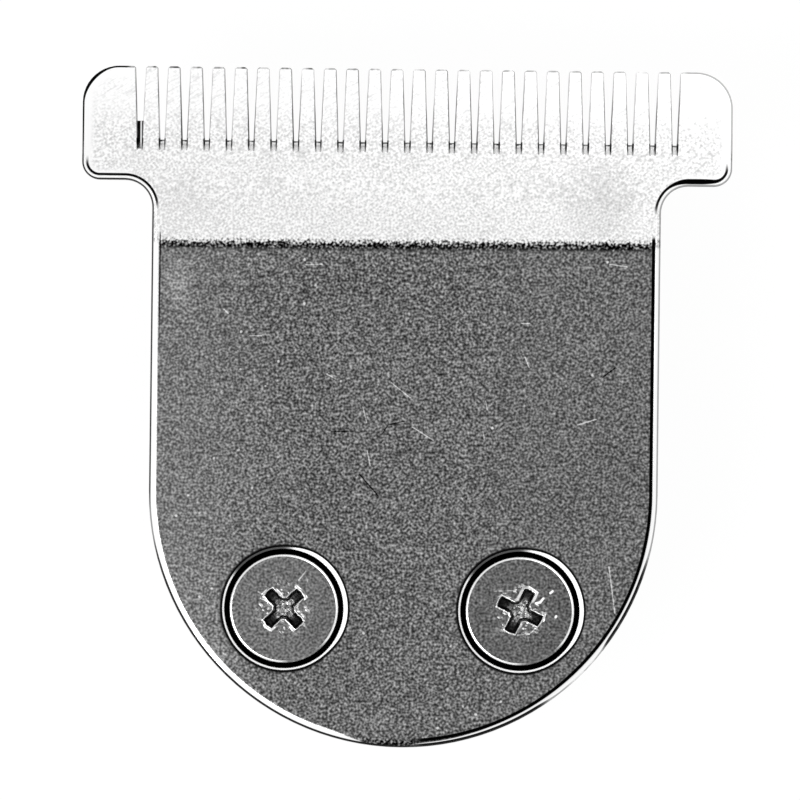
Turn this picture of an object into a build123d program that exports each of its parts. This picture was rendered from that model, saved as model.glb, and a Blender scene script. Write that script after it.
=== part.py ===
from build123d import *
from math import pi
import os

# Clip-on T-blade set of a hair trimmer: fixed comb blade, sliding cutter with its drive fork, wire tension
# spring, moulded carrier and two sunk screws. Millimetres. X runs across the blade, Y from the round end to
# the tooth tips, Z from the open back of the carrier to the front of the fixed blade.

# Fixed blade: toothed head
head_width = 40.0        # across the wings
tooth_count = 24         # narrow teeth between the two plain wings
tooth_pitch = 1.372
gap_mouth = 0.6          # gap width at the tooth tips, measured on the back
gap_root = 0.19          # gap width at the root, measured on the back
gap_relief = 2.7         # degrees that each wall of a gap leans, so that the gap is wider at the front
gap_depth = 5.1          # tips to root, measured on the front
gap_ramp = 0.4           # how much shorter the gap is on the back, where its floor slopes
tip_corner = 0.1         # bevelled corners of the tooth tips
head_depth = 7.02        # tips to the underside of the wings
wing_top_radius = 2.25
wing_bottom_radius = 1.1
neck_radius = 1.7        # between a wing and the body
wing_flat = 0.3          # least straight underside of a wing, to which its two rounds are limited

# Fixed blade: plate
overall_length = 41.75
body_width = 31.3        # plate below the wings, with a full round end
plate_thickness = 1.8
edge_roll = 0.5          # rounded front edge left by the stamping die
bevel_length = 10.7      # ground bevel, measured back from the tips
bevel_drop = 0.86        # how much the bevel thins the tips
bevel_crown = 0.185      # how far the middle of the bevel stands above a flat one
hollow_start = 7.6       # hollow-ground strip of the back, measured from the tips
hollow_length = 5.2
hollow_depth = 0.15

# Screws
screw_from_side = 8.39   # screw axis to the straight side of the plate
screw_from_end = 8.47    # screw axis to the round end of the plate
screw_head_diameter = 6.76
screw_head_height = 1.0
screw_head_sink = 0.05   # head face below the plate's front
screw_head_edge = 0.2    # bevel round the head
screw_seat_gap = 0.28    # between the head and the wall of its seat
screw_seat_edge = 0.2    # bevelled mouth of the seat
screw_shank_diameter = 3.0
screw_length = 6.0       # under the head
screw_hole_gap = 0.15    # between the shank and its hole in the plate
screw_point = 0.4        # bevel at the end of the shank
recess_span = 2.9        # cross recess, wing to wing
recess_wing = 0.72
recess_web = 0.2         # corner between two wings
recess_draft = 6.5       # degrees that the sides of the wings lean
recess_depth = 1.3
recess_foot_span = 1.3   # wing to wing at the bottom of the recess
left_recess_turn = 44
right_recess_turn = 64

# Sliding cutter
cutter_thickness = 1.2
cutter_setback = 0.5     # cutter tips behind the fixed tips
cutter_gap_depth = 4.0
cutter_tip = 0.44        # tooth width at the tip
cutter_root = 0.84       # tooth width at the root
cutter_shoulder = 2.85   # cutter tips to the plain shoulder at each end
cutter_end = 1.64        # axis of the last tooth to the end of the cutter
cutter_cover = 0.42      # cutter head hidden behind the wings by this much
cutter_stem_length = 8.4
cutter_neck_radius = 0.9
cutter_corner = 0.6
cutter_bevel_length = 5.4
cutter_tip_thickness = 0.45
stroke = 2.4             # full travel given by the drive
running_gap = 0.5        # between the cutter's stem and the carrier at full travel

# Drive fork
fork_slot = 5.0
fork_prong = 1.8
fork_rim_gap = 0.9       # prong ends inside the carrier's rim
fork_lead = 0.6          # bevelled mouth of the slot
fork_base = 1.2
fork_base_setback = 1.6  # base behind the rear of the cutter's head
fork_base_length = 6.2
fork_corner = 0.8
fork_post_diameter = 2.2
fork_post_spacing = 14.0
fork_post_sink = 0.2     # post ends below the cutter's sliding face
fork_post_gap = 0.02
groove_depth = 0.3
groove_gap = 0.1         # each side of the wire

# Tension spring
wire_diameter = 0.8
wire_sides = 8           # flats that stand for the round of the wire
coil_radius = 1.9        # to the middle of the wire
coil_turns = 2
coil_pitch = 0.88
coil_rim_gap = 1.27      # coils inside the carrier's rim
coil_setback = 4.85      # coil axis behind the rail
bridge_reach = 5.0       # coil axis to the cross wire
wire_bend = 1.2
foot_length = 4.6
arm_wall_gap = 0.4       # between an arm and the wall beside it
seat_gap = 0.03          # between the wire and what it presses on

# Carrier
carrier_inset = 0.8      # carrier edge inside the edge of the plate
carrier_wall = 1.8
carrier_rim_bevel = 0.4
carrier_arm_setback = 1.4   # ends of the side arms behind the wings
carrier_arm_bevel = 0.7
deck_thickness = 1.8
rail_gap = 0.15          # between the cutter's rear edge and the deck
cheek_thickness = 1.5
cheek_margin = 0.6       # cheek round the spring stub
stub_diameter = 2.6
stub_reach = 0.5         # stub past the last turn
coil_side_gap = 0.3
boss_diameter = 6.6
boss_floor = 1.0
thread_gap = 0.02
boss_rib_thickness = 1.2
boss_rib_drop = 2.6      # rib between the bosses, out from the deck
bridge_pad_length = 12.0
bridge_pad_width = 1.6
hinge_slot_width = 9.0
hinge_slot_height = 2.2
hinge_slot_rim = 1.4     # rim below the hinge slot
latch_radius = 0.5
latch_length = 4.0
latch_height = 1.7
latch_setback = 4.0      # middle of the latch ribs behind the ends of the arms

# Places across the set
overhang = (head_width - body_width) / 2
wing_ease = min(1, (overhang - wing_flat) / (wing_bottom_radius + neck_radius))
screw_spacing = body_width - 2 * screw_from_side
carrier_half = body_width / 2 - carrier_inset
window_half = carrier_half - carrier_wall
stem_half = window_half - stroke / 2 - running_gap
x_last_tooth = tooth_count / 2 * tooth_pitch
cutter_half = x_last_tooth + cutter_end
cutter_shift = tooth_pitch / 2   # the cutter stands with its teeth behind the fixed teeth

# Places along the set
y_tip = overall_length / 2
y_end = -overall_length / 2
y_wing = y_tip - head_depth
y_round = y_end + body_width / 2
y_bevel = y_tip - bevel_length
y_screw = y_end + screw_from_end
y_cutter_tip = y_tip - cutter_setback
y_cutter_root = y_cutter_tip - cutter_gap_depth
y_cutter_head = y_wing + cutter_cover
y_stem_rear = y_cutter_head - cutter_stem_length
y_rail = y_stem_rear - rail_gap
y_foot = y_cutter_head - fork_base_setback - fork_base_length / 2
y_coil = y_rail - coil_setback
y_bridge = y_coil - bridge_reach
y_arm_end = y_wing - carrier_arm_setback
y_latch = y_arm_end - latch_setback

# Heights: the spring, the fork's base and the cutter are stacked behind the plate
wire_radius = wire_diameter / 2
z_coil = coil_rim_gap + wire_radius + coil_radius
z_wire = z_coil + coil_radius
z_groove = z_wire + wire_radius + seat_gap
z_base_back = z_groove - groove_depth
z_cutter_back = z_base_back + fork_base
z_plate_back = z_cutter_back + cutter_thickness
z_front = z_plate_back + plate_thickness
z_deck = z_plate_back - deck_thickness
z_head_top = z_front - screw_head_sink
z_head_seat = z_head_top - screw_head_height
z_screw_end = z_head_seat - screw_length
z_boss_end = z_screw_end - boss_floor

# Spring wire: the arms and legs leave the coils along the lead of the winding
wire_lead = coil_pitch / (2 * pi * coil_radius)
x_arm = window_half - wire_radius - arm_wall_gap
x_coil_outer = x_arm - wire_lead * (y_foot - y_coil)
x_coil_inner = x_coil_outer - coil_turns * coil_pitch
x_leg = x_coil_inner - wire_lead * bridge_reach
x_cheek = x_coil_inner - wire_radius - coil_side_gap
base_half = x_arm - wire_lead * fork_base_length - wire_radius - stroke / 2 - running_gap

past = 1.0               # how far a cutting shape runs past what it cuts


def outline(*points):
    return make_face(Polyline(*points, close=True))


def upright(sketch, low, high):
    """Solid of an XY sketch between two heights."""
    return Pos(0, 0, low) * extrude(sketch, high - low)


def across(sketch, left, right):
    """Solid of a YZ sketch between two places along X."""
    return Pos(left, 0, 0) * extrude(Plane.YZ * sketch, right - left)


def turned(*points):
    """Solid turned round Z from a half section of radii and heights."""
    return revolve(Plane.XZ * outline(*points), Axis.Z)


def u_shape(half, y_top):
    """Straight-sided outline whose round end is concentric with the plate's."""
    sides = Polyline((-half, y_round), (-half, y_top), (half, y_top), (half, y_round))
    end = ThreePointArc((half, y_round), (0, y_round - half), (-half, y_round))
    return make_face(sides.edges() + end.edges())


def corners_at(sketch, x, y):
    """The two corners of a symmetric sketch that lie at plus and minus x."""
    near = 1e-4
    return [v for v in sketch.vertices() if abs(abs(v.X) - x) < near and abs(v.Y - y) < near]


def both_sides(shape):
    return shape + mirror(shape, Plane.YZ)


# Fixed blade


def blade_outline():
    head = Pos(0, y_tip - head_depth / 2) * Rectangle(head_width, head_depth)
    plan = u_shape(body_width / 2, y_tip) + head
    plan = fillet(corners_at(plan, head_width / 2, y_tip), wing_top_radius)
    plan = fillet(corners_at(plan, head_width / 2, y_wing), wing_bottom_radius * wing_ease)
    return fillet(corners_at(plan, body_width / 2, y_wing), neck_radius * wing_ease)


def bevel_height(y):
    """Height of the crowned bevel, level with the front where it starts and lowest at the tips."""
    part = (y - y_bevel) / bevel_length
    return z_front - bevel_drop * part + 4 * bevel_crown * part * (1 - part)


def front_bevel():
    y_past = y_tip + past
    y_middle = (y_bevel + y_past) / 2
    high = z_front + past
    start = (y_bevel, z_front)
    end = (y_past, bevel_height(y_past))
    crown = ThreePointArc(start, (y_middle, bevel_height(y_middle)), end)
    rest = Polyline(end, (y_past, high), (y_bevel, high), start)
    return across(make_face(crown.edges() + rest.edges()), -head_width, head_width)


def back_hollow():
    radius = (hollow_length**2 / 4 + hollow_depth**2) / (2 * hollow_depth)
    middle = y_tip - hollow_start - hollow_length / 2
    wheel = Pos(middle, z_plate_back + hollow_depth - radius) * Circle(radius)
    return across(wheel, -head_width, head_width)


def comb_gap():
    """One tapered gap, widest at the front, whose floor slopes back under the teeth."""
    y_root = y_tip - gap_depth
    y_corner = y_tip - tip_corner
    y_past = y_tip + past
    z_root = bevel_height(y_root)
    low = z_plate_back - past
    high = z_front + past
    flare = gap_mouth / 2 + 2 * tip_corner
    right = [(gap_root / 2, y_root), (gap_mouth / 2, y_corner), (flare, y_tip + tip_corner)]
    left = [(-x, y) for x, y in reversed(right)]
    wedge = Pos(0, 0, z_plate_back) * extrude(outline(*right, *left), high - z_plate_back, taper=-gap_relief)
    y_floor = y_root + gap_ramp * (z_root - low) / (z_root - z_plate_back)
    side = outline((y_root, z_root), (y_floor, low), (y_past, low), (y_past, high), (y_root, high))
    return wedge & across(side, -tooth_pitch, tooth_pitch)


def screw_places():
    return [Pos(-screw_spacing / 2, y_screw), Pos(screw_spacing / 2, y_screw)]


def screw_seat():
    """Round seat for a screw head, with a bevelled mouth, over the shank's hole."""
    seat = screw_head_diameter / 2 + screw_seat_gap
    hole = screw_shank_diameter / 2 + screw_hole_gap
    mouth = seat + screw_seat_edge
    low = z_plate_back - past
    high = z_front + past
    return turned((0, low), (hole, low), (hole, z_head_seat), (seat, z_head_seat),
                  (seat, z_front - screw_seat_edge), (mouth, z_front), (mouth, high), (0, high))


def fixed_blade():
    plate = upright(blade_outline(), z_plate_back, z_front)
    plate = fillet(plate.faces().sort_by(Axis.Z)[-1].outer_wire().edges(), edge_roll)
    plate -= front_bevel()
    plate -= back_hollow()
    plate -= [Pos(i * tooth_pitch - x_last_tooth, 0) * comb_gap() for i in range(tooth_count + 1)]
    return plate - [place * screw_seat() for place in screw_places()]


# Screws


def cross_recess():
    """Cross recess: four drafted wings with a web in each corner, inside a cone."""
    wing = recess_wing / 2
    web = wing + recess_web
    reach = recess_span / 2
    z_foot = z_head_top - recess_depth
    quarter = [(reach + past, -wing), (reach + past, wing), (web, wing), (wing, web)]
    plan = outline(*[Vector(x, y).rotate(Axis.Z, 90 * turn) for turn in range(4) for x, y in quarter])
    wings = Pos(0, 0, z_head_top) * extrude(plan, -recess_depth, taper=recess_draft)
    return wings & turned((0, z_foot), (recess_foot_span / 2, z_foot), (reach, z_head_top), (0, z_head_top))


def carrier_screw(recess_turn):
    head = screw_head_diameter / 2
    shank = screw_shank_diameter / 2
    body = turned((0, z_screw_end), (shank - screw_point, z_screw_end), (shank, z_screw_end + screw_point),
                  (shank, z_head_seat), (head, z_head_seat), (head, z_head_top - screw_head_edge),
                  (head - screw_head_edge, z_head_top), (0, z_head_top))
    return body - Rot(0, 0, recess_turn) * cross_recess()


# Sliding cutter


def cutter_tooth():
    root = cutter_root / 2
    tip = cutter_tip / 2
    return outline((-root, y_cutter_head), (root, y_cutter_head), (root, y_cutter_root),
                   (tip, y_cutter_tip), (-tip, y_cutter_tip), (-root, y_cutter_root))


def cutter_outline():
    y_shoulder = y_cutter_tip - cutter_shoulder
    head = Pos(0, (y_cutter_root + y_cutter_head) / 2)
    head *= Rectangle(2 * cutter_half, y_cutter_root - y_cutter_head)
    end = Pos(x_last_tooth + cutter_end / 2, (y_shoulder + y_cutter_head) / 2)
    end *= Rectangle(cutter_end, y_shoulder - y_cutter_head)
    stem = Pos(0, (y_cutter_root + y_stem_rear) / 2)
    stem *= Rectangle(2 * stem_half, y_cutter_root - y_stem_rear)
    teeth = [Pos(i * tooth_pitch - x_last_tooth, 0) * cutter_tooth() for i in range(tooth_count + 1)]
    plan = head + both_sides(end) + stem + teeth
    plan = fillet(corners_at(plan, cutter_half, y_shoulder), cutter_corner)
    plan = fillet(corners_at(plan, cutter_half, y_cutter_head), cutter_corner)
    plan = fillet(corners_at(plan, stem_half, y_stem_rear), cutter_corner)
    return fillet(corners_at(plan, stem_half, y_cutter_head), cutter_neck_radius)


def cutter_bevel():
    """Waste ground off the back of the cutter's teeth."""
    y_start = y_cutter_tip - cutter_bevel_length
    y_past = y_cutter_tip + past
    slope = (cutter_thickness - cutter_tip_thickness) / cutter_bevel_length
    low = z_cutter_back - past
    waste = outline((y_start, z_cutter_back), (y_past, z_cutter_back + slope * (y_past - y_start)),
                    (y_past, low), (y_start, low))
    return across(waste, -head_width, head_width)


def post_places():
    return [Pos(-fork_post_spacing / 2, y_foot), Pos(fork_post_spacing / 2, y_foot)]


def moving_cutter():
    cutter = upright(cutter_outline(), z_cutter_back, z_plate_back) - cutter_bevel()
    hole = upright(Circle(fork_post_diameter / 2 + fork_post_gap), z_cutter_back - past, z_plate_back + past)
    cutter -= [place * hole for place in post_places()]
    return Pos(cutter_shift, 0) * cutter


# Drive fork


def fork_half():
    """Right half of the fork: base and one prong with a bevelled mouth, from one section."""
    slot = fork_slot / 2
    prong = slot + fork_prong
    section = outline((0, z_cutter_back), (base_half, z_cutter_back), (base_half, z_base_back),
                      (prong, z_base_back), (prong, fork_rim_gap), (slot + fork_lead, fork_rim_gap),
                      (slot, fork_rim_gap + fork_lead), (slot, z_base_back), (0, z_base_back))
    half = Pos(0, y_foot, 0) * extrude(Plane.XZ * section, fork_base_length / 2, both=True)
    outer = half.edges().filter_by(Axis.Z).filter_by_position(Axis.X, prong - past / 2, base_half + past)
    half = fillet(outer, fork_corner)
    groove = Pos(prong + base_half / 2, y_foot) * Rectangle(base_half, wire_diameter + 2 * groove_gap)
    return half - upright(groove, z_base_back - past, z_groove)


def cutter_driver():
    post = upright(Circle(fork_post_diameter / 2), z_cutter_back, z_plate_back - fork_post_sink)
    driver = both_sides(fork_half()) + [place * post for place in post_places()]
    return Pos(cutter_shift, 0) * driver


# Tension spring


def spring_half():
    """Wire path of the right half: half the cross wire, leg, coil, arm and foot."""
    coil_start = (x_coil_inner, y_coil, z_wire)
    coil_end = (x_coil_outer, y_coil, z_wire)
    leg = FilletPolyline((0, y_bridge, z_wire), (x_leg, y_bridge, z_wire), coil_start, radius=wire_bend)
    barrel = Plane((x_coil_inner, y_coil, z_coil), x_dir=(0, 0, 1), z_dir=(1, 0, 0))
    coil = barrel * Helix(coil_pitch, coil_turns * coil_pitch, coil_radius, lefthand=True)
    foot_end = (x_arm - foot_length, y_foot, z_wire)
    arm = FilletPolyline(coil_end, (x_arm, y_foot, z_wire), foot_end, radius=wire_bend)
    return Wire(leg.edges() + coil.edges() + arm.edges())


def tension_spring():
    section = Plane((0, y_bridge, z_wire), z_dir=(1, 0, 0)) * RegularPolygon(wire_radius, wire_sides)
    return both_sides(sweep(section, path=spring_half()))


# Carrier


def carrier_shell():
    """Deck with a wall round it, open at the back, and two side arms beside the cutter's window."""
    shell = upright(u_shape(carrier_half, y_arm_end), 0, z_plate_back)
    arm_ends = shell.edges().filter_by(Axis.Z).group_by(Axis.Y)[-1]
    shell = chamfer(arm_ends, carrier_arm_bevel)
    shell = chamfer(shell.faces().sort_by(Axis.Z)[0].outer_wire().edges(), carrier_rim_bevel)
    shell -= upright(u_shape(window_half, y_arm_end + past), -past, z_deck)
    window = Pos(0, (y_rail + y_tip) / 2) * Rectangle(2 * window_half, y_tip - y_rail)
    return shell - upright(window, -past, z_plate_back + past)


def spring_cheek():
    """Cheek that hangs from the deck and carries one stub for a coil."""
    radius = stub_diameter / 2 + cheek_margin
    side = Pos(y_coil, z_coil) * Circle(radius)
    side += Pos(y_coil, (z_coil + z_deck) / 2) * Rectangle(2 * radius, z_deck - z_coil)
    stub_end = x_coil_outer + wire_radius + stub_reach
    stub = across(Pos(y_coil, z_coil) * Circle(stub_diameter / 2), x_cheek, stub_end)
    return across(side, x_cheek - cheek_thickness, x_cheek) + stub


def hinge_slot():
    """Slot through the round end of the wall, for the lip of the trimmer's neck."""
    y_inner = y_round - window_half + carrier_wall
    plan = Pos(0, (y_end + y_inner) / 2) * Rectangle(hinge_slot_width, y_inner - y_end)
    return upright(plan, hinge_slot_rim, hinge_slot_rim + hinge_slot_height)


def blade_carrier():
    carrier = carrier_shell()
    carrier += [place * upright(Circle(boss_diameter / 2), z_boss_end, z_deck) for place in screw_places()]
    boss_rib = Pos(0, y_screw) * Rectangle(screw_spacing, boss_rib_thickness)
    carrier += upright(boss_rib, z_deck - boss_rib_drop, z_deck)
    bridge_pad = Pos(0, y_bridge) * Rectangle(bridge_pad_length, bridge_pad_width)
    carrier += upright(bridge_pad, z_groove, z_deck)
    carrier += both_sides(spring_cheek())
    latch = Pos(window_half, y_latch, latch_height) * Rot(90, 0, 0) * Cylinder(latch_radius, latch_length)
    carrier += both_sides(latch)
    bore = upright(Circle(screw_shank_diameter / 2 + thread_gap), z_screw_end, z_plate_back + past)
    carrier -= [place * bore for place in screw_places()]
    return carrier - hinge_slot()


def main():
    left, right = screw_places()
    pieces = {
        "fixed_blade": fixed_blade(),
        "moving_cutter": moving_cutter(),
        "cutter_driver": cutter_driver(),
        "tension_spring": tension_spring(),
        "blade_carrier": blade_carrier(),
        "left_screw": left * carrier_screw(left_recess_turn),
        "right_screw": right * carrier_screw(right_recess_turn),
    }
    os.makedirs("parts", exist_ok=True)
    for name, piece in pieces.items():
        export_step(piece, f"parts/{name}.step")


main()
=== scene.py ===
import math
import bmesh
import bpy
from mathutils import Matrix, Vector


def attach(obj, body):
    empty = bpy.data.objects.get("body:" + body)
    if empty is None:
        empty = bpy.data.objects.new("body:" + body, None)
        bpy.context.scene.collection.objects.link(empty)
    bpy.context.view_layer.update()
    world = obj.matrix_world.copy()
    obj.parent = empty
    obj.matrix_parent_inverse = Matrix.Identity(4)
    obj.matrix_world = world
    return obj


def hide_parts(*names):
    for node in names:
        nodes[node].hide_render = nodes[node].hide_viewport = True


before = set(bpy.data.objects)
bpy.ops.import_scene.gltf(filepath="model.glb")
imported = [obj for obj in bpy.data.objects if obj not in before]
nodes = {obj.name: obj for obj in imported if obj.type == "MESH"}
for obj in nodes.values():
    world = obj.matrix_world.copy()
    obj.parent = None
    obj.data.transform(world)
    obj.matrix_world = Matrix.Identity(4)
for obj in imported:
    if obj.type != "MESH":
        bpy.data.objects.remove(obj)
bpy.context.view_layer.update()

print("frame loaded:", ", ".join(sorted(nodes)))

# places and sizes below are in millimetres; wear radii, bump depths, studio and camera in metres

# small helpers for node trees


def feed(socket, value):
    if isinstance(value, bpy.types.NodeSocket):
        socket.id_data.links.new(value, socket)
    else:
        socket.default_value = value


def add(tree, kind, inputs=None, **settings):
    node = tree.nodes.new(kind)
    for name, value in settings.items():
        setattr(node, name, value)
    for key, value in (inputs or {}).items():
        feed(node.inputs[key], value)
    return node


def addAfter(kind, inputs, **settings):   # adds a node to the tree that its linked inputs are in
    linked = [value for value in inputs.values() if isinstance(value, bpy.types.NodeSocket)]
    return add(linked[0].id_data, kind, inputs, **settings)


def calc(operation, *values, clamp=False):
    node = addAfter("ShaderNodeMath", dict(enumerate(values)), operation=operation, use_clamp=clamp)
    return node.outputs[0]


def times(first, *others):
    for other in others:
        first = calc("MULTIPLY", first, other)
    return first


def plus(a, b):
    return calc("ADD", a, b)


def minus(a, b):
    return calc("SUBTRACT", a, b)


def addScaled(base, value, gain):   # base + value * gain
    return calc("MULTIPLY_ADD", value, gain, base)


def ratio(a, b):
    return calc("DIVIDE", a, b)


def larger(a, b):
    return calc("MAXIMUM", a, b)


def smaller(a, b):
    return calc("MINIMUM", a, b)


def absolute(value):
    return calc("ABSOLUTE", value)


def vec(operation, *values):
    node = addAfter("ShaderNodeVectorMath", dict(enumerate(values)), operation=operation)
    return node.outputs["Value" if operation in ("DOT_PRODUCT", "LENGTH") else "Vector"]


def scaled(vector, scale):
    return addAfter("ShaderNodeVectorMath", {0: vector, "Scale": scale}, operation="SCALE").outputs[0]


def split(vector):
    return addAfter("ShaderNodeSeparateXYZ", {0: vector}).outputs


def join(x, y=0.0, z=0.0):
    return addAfter("ShaderNodeCombineXYZ", {0: x, 1: y, 2: z}).outputs[0]


def spin(vector, angle):
    node = addAfter("ShaderNodeVectorRotate", {"Vector": vector, "Angle": angle}, rotation_type="Z_AXIS")
    return node.outputs[0]


def hypot(a, b):
    return vec("LENGTH", join(a, b))


def step(value, low, high):   # smooth 0 to 1 between two values
    inputs = dict(enumerate((value, low, high, 0.0, 1.0)))
    return addAfter("ShaderNodeMapRange", inputs, interpolation_type="SMOOTHSTEP").outputs[0]


def band(value, low, high, soft):   # 1 between two values, 0 outside
    return times(step(value, low - soft, low + soft), step(value, high + soft, high - soft))


def lerp(factor, a, b):
    return addAfter("ShaderNodeMix", {0: factor, 2: a, 3: b}, data_type="FLOAT").outputs[0]


def blendColour(factor, a, b):
    return addAfter("ShaderNodeMix", {0: factor, 6: a, 7: b}, data_type="RGBA").outputs[2]


def asColour(level):   # a grey as it looks on the screen, turned into light
    return calc("POWER", larger(level, 0.0), 2.2)


def noise(vector, scale, detail=2.0, rough=0.5):
    inputs = {"Vector": vector, "Scale": scale, "Detail": detail, "Roughness": rough}
    return addAfter("ShaderNodeTexNoise", inputs).outputs[0]


def grey(value):
    return (value, value, value, 1.0)


def newGroup(name, inputs, outputs, kind="ShaderNodeTree"):
    tree = bpy.data.node_groups.new(name, kind)
    for label, socketType, value in inputs:
        socket = tree.interface.new_socket(name=label, in_out="INPUT", socket_type="NodeSocket" + socketType)
        if value is not None:
            socket.default_value = value
    for label, socketType in outputs:
        tree.interface.new_socket(name=label, in_out="OUTPUT", socket_type="NodeSocket" + socketType)
    return tree, tree.nodes.new("NodeGroupInput").outputs, tree.nodes.new("NodeGroupOutput").inputs


def deliver(tree, out, **values):
    for key, value in values.items():
        tree.links.new(value, out[key])
    return tree


def useGroup(tree, group, **inputs):
    node = tree.nodes.new("ShaderNodeGroup")
    node.node_tree = group
    for key, value in inputs.items():
        feed(node.inputs[key], value)
    return node.outputs


# shared surface effects, laid out in millimetres of the object


def millimetreGroup():
    tree, _, out = newGroup("millimetres", [], [("Place", "Vector"), ("X", "Float"), ("Y", "Float")])
    place = scaled(add(tree, "ShaderNodeTexCoord").outputs["Object"], 1000.0)
    axes = split(place)
    return deliver(tree, out, Place=place, X=axes[0], Y=axes[1])


def edgeGroup():   # where the surface turns sharply within a radius, and the normal with that edge softened
    tree, put, out = newGroup("edgeWear", [("Radius", "Float", 0.0001), ("Gain", "Float", 4.0)],
                              [("Mask", "Float"), ("Normal", "Vector")])
    soft = addAfter("ShaderNodeBevel", {"Radius": put["Radius"]}, samples=4).outputs[0]
    flat = add(tree, "ShaderNodeNewGeometry").outputs["Normal"]
    turn = minus(1.0, vec("DOT_PRODUCT", soft, flat))
    return deliver(tree, out, Mask=calc("MULTIPLY", turn, put["Gain"], clamp=True), Normal=soft)


def grainGroup():   # blasted or etched grain, even and without large blotches
    tree, put, out = newGroup("blastGrain", [("Place", "Vector", None), ("Size", "Float", 0.11)],
                              [("Tone", "Float"), ("Salt", "Float"), ("Height", "Float")])
    scale = ratio(1.0, put["Size"])
    tone = noise(put["Place"], scale, 0.6, 0.5)
    inputs = {"Vector": put["Place"], "Scale": times(scale, 0.2)}
    cells = addAfter("ShaderNodeTexVoronoi", inputs).outputs
    pick = addAfter("ShaderNodeSeparateColor", {0: cells["Color"]}).outputs[0]
    salt = times(step(cells["Distance"], 0.16, 0.06), step(pick, 0.72, 1.0))
    return deliver(tree, out, Tone=minus(tone, 0.5), Salt=salt, Height=addScaled(tone, salt, 0.4))


def grindGroup():   # straight grinding marks that run along one direction
    inputs = [("Place", "Vector", None), ("Turn", "Float", 0.0), ("Pitch", "Float", 0.1),
              ("Length", "Float", 3.0)]
    tree, put, out = newGroup("grindLines", inputs, [("Tone", "Float"), ("Height", "Float")])
    cross = ratio(1.0, put["Pitch"])
    stretch = join(ratio(1.0, put["Length"]), cross, cross)
    place = vec("MULTIPLY", spin(put["Place"], put["Turn"]), stretch)
    lines = noise(place, 1.0, 3.0, 0.6)
    deep = step(noise(place, 0.37, 1.0), 0.55, 0.72)
    return deliver(tree, out, Tone=addScaled(lines, deep, -0.25), Height=addScaled(lines, deep, -0.5))


def scratchGroup():   # loose short scratches at three angles, few and thin
    inputs = [("Place", "Vector", None), ("Spread", "Float", 3.0), ("Width", "Float", 0.03)]
    tree, put, out = newGroup("looseScratches", inputs, [("Mask", "Float")])
    slender = 9.0
    scale = ratio(1.0, put["Spread"])
    reach = ratio(times(put["Width"], slender), put["Spread"])
    total = 0.0
    for turn, shift in ((0.35, 0.0), (1.25, 17.3), (-0.7, 41.9)):
        place = spin(vec("ADD", put["Place"], (shift, shift, 0.0)), turn)
        place = vec("MULTIPLY", place, (1.0, slender, 1.0))
        cells = addAfter("ShaderNodeTexVoronoi", {"Vector": place, "Scale": scale}).outputs
        pick = addAfter("ShaderNodeSeparateColor", {0: cells["Color"]}).outputs[1]
        mark = step(cells["Distance"], times(reach, 1.6), times(reach, 0.5))
        total = larger(total, times(mark, step(pick, 0.45, 0.9)))
    return deliver(tree, out, Mask=total)


def strokeGroup():   # one scratch between two places, its strength uneven along it
    inputs = [("Place", "Vector", None), ("Start", "Vector", None), ("End", "Vector", None),
              ("Width", "Float", 0.05), ("Breaks", "Float", 1.0)]
    tree, put, out = newGroup("scratchStroke", inputs, [("Mask", "Float")])
    run = vec("SUBTRACT", put["End"], put["Start"])
    rel = vec("SUBTRACT", vec("MULTIPLY", put["Place"], (1.0, 1.0, 0.0)), put["Start"])
    square = vec("DOT_PRODUCT", run, run)
    share = calc("DIVIDE", vec("DOT_PRODUCT", rel, run), square, clamp=True)
    off = vec("LENGTH", vec("SUBTRACT", rel, scaled(run, share)))
    return deliver(tree, out, Mask=times(step(off, put["Width"], 0.0), put["Breaks"]))


millimetres = millimetreGroup()
edgeWear = edgeGroup()
blastGrain = grainGroup()
grindLines = grindGroup()
looseScratches = scratchGroup()
scratchStroke = strokeGroup()
print("surface effects ready")

# helpers for materials and pieces


def toShader(shader, **inputs):
    for key, value in inputs.items():
        feed(shader.inputs[key.replace("_", " ")], value)


def newMaterial(name, **plain):
    material = bpy.data.materials.new(name)
    material.use_nodes = True
    shader = material.node_tree.nodes["Principled BSDF"]
    toShader(shader, **plain)
    return material, material.node_tree, shader


def bump(height, distance, normal=None, strength=1.0):
    node = addAfter("ShaderNodeBump", {"Height": height, "Distance": distance, "Strength": strength})
    if normal is not None:
        feed(node.inputs["Normal"], normal)
    return node.outputs[0]


def faceAxes(tree):
    return split(add(tree, "ShaderNodeNewGeometry").outputs["Normal"])


def strokeAt(place, ends, width, breaks=1.0):
    start, end = ends
    return useGroup(place.id_data, scratchStroke, Place=place, Start=(*start, 0.0), End=(*end, 0.0),
                    Width=width, Breaks=breaks)["Mask"]


def newObject(name, data):
    piece = bpy.data.objects.new(name, data)
    bpy.context.scene.collection.objects.link(piece)
    return piece


def addPiece(name, mesh, material, body, node):
    piece = newObject(name, mesh)
    mesh.materials.clear()
    mesh.materials.append(material)
    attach(piece, body)
    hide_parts(node)
    return piece


def finishDraft(draft, name):   # the evaluated object as a plain mesh, with its modifiers gone
    bpy.context.view_layer.update()
    mesh = bpy.data.meshes.new_from_object(draft.evaluated_get(bpy.context.evaluated_depsgraph_get()))
    mesh.name = name
    bpy.data.objects.remove(draft)
    return mesh


def growMesh(name, points, tree, values, sharp):   # runs a node tree on a line of points
    mesh = bpy.data.meshes.new(name)
    mesh.from_pydata(points, [(i, i + 1) for i in range(len(points) - 1)], [])
    draft = newObject("draft", mesh)
    modifier = draft.modifiers.new("grow", "NODES")
    modifier.node_group = tree
    for socket in tree.interface.items_tree:
        if socket.item_type == "SOCKET" and socket.in_out == "INPUT" and socket.name in values:
            modifier[socket.identifier] = values[socket.name]
    finished = finishDraft(draft, name)
    finished.shade_smooth()
    finished.set_sharp_from_angle(angle=math.radians(sharp))
    return finished


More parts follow.
